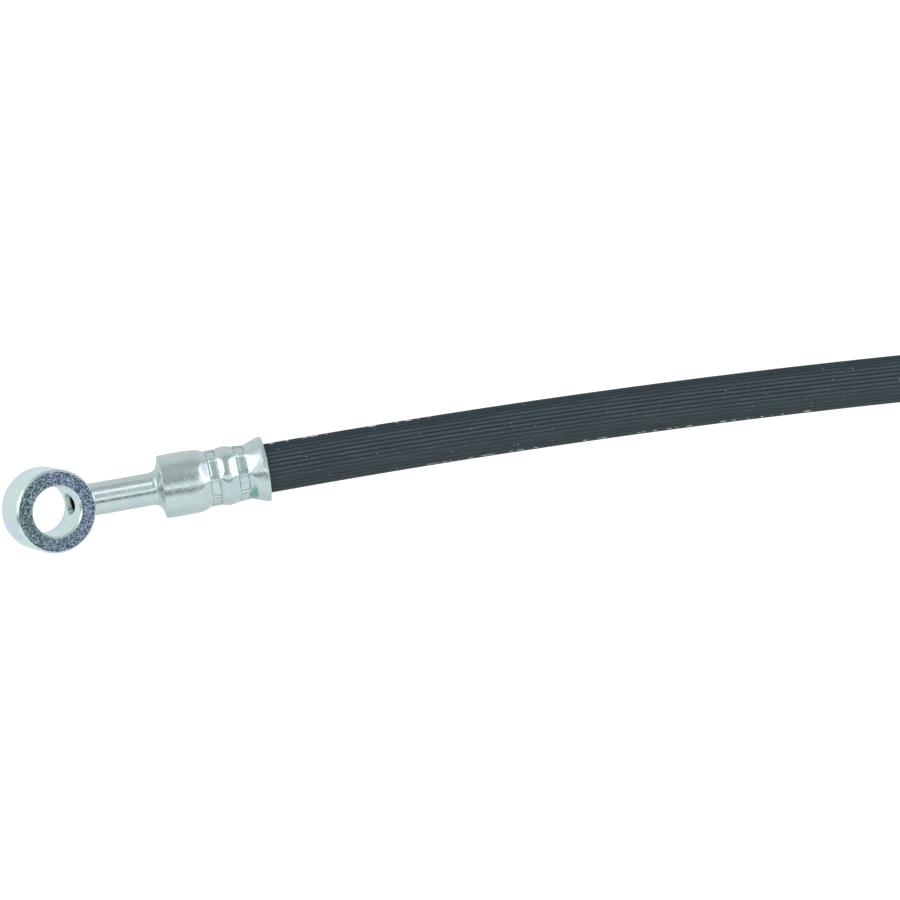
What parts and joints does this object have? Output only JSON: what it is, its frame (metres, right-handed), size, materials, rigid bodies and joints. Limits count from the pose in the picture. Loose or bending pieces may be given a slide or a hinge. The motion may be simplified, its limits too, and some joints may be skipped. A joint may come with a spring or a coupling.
{
  "type": "hydraulic hose assembly",
  "caption": "Ribbed rubber hydraulic hose with crimped ferrules, an angled banjo eye at one end and a swivel union nut at the other; the hose flexes both ways.",
  "frame": {"origin": "centre of the banjo bore, at half the eye's thickness", "axes": "+Z along the banjo bore, on the side the neck leans towards; +X the way the hose leaves, seen along the bore; +Y completes the right-handed set"},
  "size_m": [0.312, 0.0339, 0.1328],
  "materials": {
    "zinc_steel": "zinc plated, satin",
    "insert_steel": "zinc plated, drawn tube",
    "liner_rubber": "smooth",
    "cushion_rubber": "matte",
    "braid_yarn": "braided yarn",
    "cover_rubber": "ribbed, matte"
  },
  "bodies": {
    "eye_end": {"banjo_eye": "zinc_steel", "neck_insert": "insert_steel", "crimp_ferrule_eye_end": "zinc_steel", "hose_liner_01": "liner_rubber", "hose_inner_braid_01": "braid_yarn", "hose_cushion_01": "cushion_rubber", "hose_outer_braid_01": "braid_yarn", "hose_cover_01": "cover_rubber"},
    "hose_length_02": {"hose_liner_02": "liner_rubber", "hose_inner_braid_02": "braid_yarn", "hose_cushion_02": "cushion_rubber", "hose_outer_braid_02": "braid_yarn", "hose_cover_02": "cover_rubber"},
    "hose_length_03": {"hose_liner_03": "liner_rubber", "hose_inner_braid_03": "braid_yarn", "hose_cushion_03": "cushion_rubber", "hose_outer_braid_03": "braid_yarn", "hose_cover_03": "cover_rubber"},
    "hose_length_04": {"hose_liner_04": "liner_rubber", "hose_inner_braid_04": "braid_yarn", "hose_cushion_04": "cushion_rubber", "hose_outer_braid_04": "braid_yarn", "hose_cover_04": "cover_rubber"},
    "hose_length_05": {"hose_liner_05": "liner_rubber", "hose_inner_braid_05": "braid_yarn", "hose_cushion_05": "cushion_rubber", "hose_outer_braid_05": "braid_yarn", "hose_cover_05": "cover_rubber"},
    "hose_length_06": {"hose_liner_06": "liner_rubber", "hose_inner_braid_06": "braid_yarn", "hose_cushion_06": "cushion_rubber", "hose_outer_braid_06": "braid_yarn", "hose_cover_06": "cover_rubber"},
    "hose_length_07": {"hose_liner_07": "liner_rubber", "hose_inner_braid_07": "braid_yarn", "hose_cushion_07": "cushion_rubber", "hose_outer_braid_07": "braid_yarn", "hose_cover_07": "cover_rubber"},
    "hose_length_08": {"hose_liner_08": "liner_rubber", "hose_inner_braid_08": "braid_yarn", "hose_cushion_08": "cushion_rubber", "hose_outer_braid_08": "braid_yarn", "hose_cover_08": "cover_rubber"},
    "hose_length_09": {"hose_liner_09": "liner_rubber", "hose_inner_braid_09": "braid_yarn", "hose_cushion_09": "cushion_rubber", "hose_outer_braid_09": "braid_yarn", "hose_cover_09": "cover_rubber"},
    "nut_end": {"hose_liner_10": "liner_rubber", "hose_inner_braid_10": "braid_yarn", "hose_cushion_10": "cushion_rubber", "hose_outer_braid_10": "braid_yarn", "hose_cover_10": "cover_rubber", "crimp_ferrule_nut_end": "zinc_steel", "swivel_insert": "insert_steel"},
    "union_nut": {"union_nut": "zinc_steel"}
  },
  "joints": [
    {"name": "hose_bend_side_1", "type": "hinge", "parent": "eye_end", "child": "hose_length_02", "pos_m": [0.0564, 0, 0.01733], "axis": [-0.3468, 0, 0.938], "range_deg": [-24, 24], "stiffness_Nm_per_rad": 2},
    {"name": "hose_bend_up_2", "type": "hinge", "parent": "hose_length_02", "child": "hose_length_03", "pos_m": [0.08074, -0.00031, 0.02647], "axis": [-0.0168, -0.9998, -0.0064], "range_deg": [-24, 24], "stiffness_Nm_per_rad": 2},
    {"name": "hose_bend_side_3", "type": "hinge", "parent": "hose_length_03", "child": "hose_length_04", "pos_m": [0.10498, -0.00094, 0.03585], "axis": [-0.3657, 0.0008, 0.9307], "range_deg": [-24, 24], "stiffness_Nm_per_rad": 2},
    {"name": "hose_bend_up_4", "type": "hinge", "parent": "hose_length_04", "child": "hose_length_05", "pos_m": [0.12911, -0.00187, 0.04548], "axis": [-0.039, -0.9991, -0.0158], "range_deg": [-24, 24], "stiffness_Nm_per_rad": 2},
    {"name": "hose_bend_side_5", "type": "hinge", "parent": "hose_length_05", "child": "hose_length_06", "pos_m": [0.15313, -0.00312, 0.05534], "axis": [-0.3843, 0.0025, 0.9232], "range_deg": [-24, 24], "stiffness_Nm_per_rad": 2},
    {"name": "hose_bend_up_6", "type": "hinge", "parent": "hose_length_06", "child": "hose_length_07", "pos_m": [0.17704, -0.00468, 0.06544], "axis": [-0.0607, -0.9978, -0.026], "range_deg": [-24, 24], "stiffness_Nm_per_rad": 2},
    {"name": "hose_bend_side_7", "type": "hinge", "parent": "hose_length_07", "child": "hose_length_08", "pos_m": [0.20083, -0.00656, 0.07577], "axis": [-0.4028, 0.0051, 0.9153], "range_deg": [-24, 24], "stiffness_Nm_per_rad": 2},
    {"name": "hose_bend_up_8", "type": "hinge", "parent": "hose_length_08", "child": "hose_length_09", "pos_m": [0.22448, -0.00874, 0.08634], "axis": [-0.0819, -0.9959, -0.0371], "range_deg": [-24, 24], "stiffness_Nm_per_rad": 2},
    {"name": "hose_bend_side_9", "type": "hinge", "parent": "hose_length_09", "child": "nut_end", "pos_m": [0.248, -0.01123, 0.09713], "axis": [-0.4209, 0.0088, 0.9071], "range_deg": [-24, 24], "stiffness_Nm_per_rad": 2},
    {"name": "union_nut_spin", "type": "hinge", "parent": "nut_end", "child": "union_nut", "pos_m": [0.29384, -0.01673, 0.11874], "axis": [0.8993, -0.1078, 0.4239], "continuous": true}
  ],
  "couplings": [
    {"joint": "hose_bend_side_3", "follows": "hose_bend_side_1", "ratio": 1},
    {"joint": "hose_bend_up_4", "follows": "hose_bend_up_2", "ratio": 1},
    {"joint": "hose_bend_side_5", "follows": "hose_bend_side_1", "ratio": 1},
    {"joint": "hose_bend_up_6", "follows": "hose_bend_up_2", "ratio": 1},
    {"joint": "hose_bend_side_7", "follows": "hose_bend_side_1", "ratio": 1},
    {"joint": "hose_bend_up_8", "follows": "hose_bend_up_2", "ratio": 1},
    {"joint": "hose_bend_side_9", "follows": "hose_bend_side_1", "ratio": 1}
  ]
}
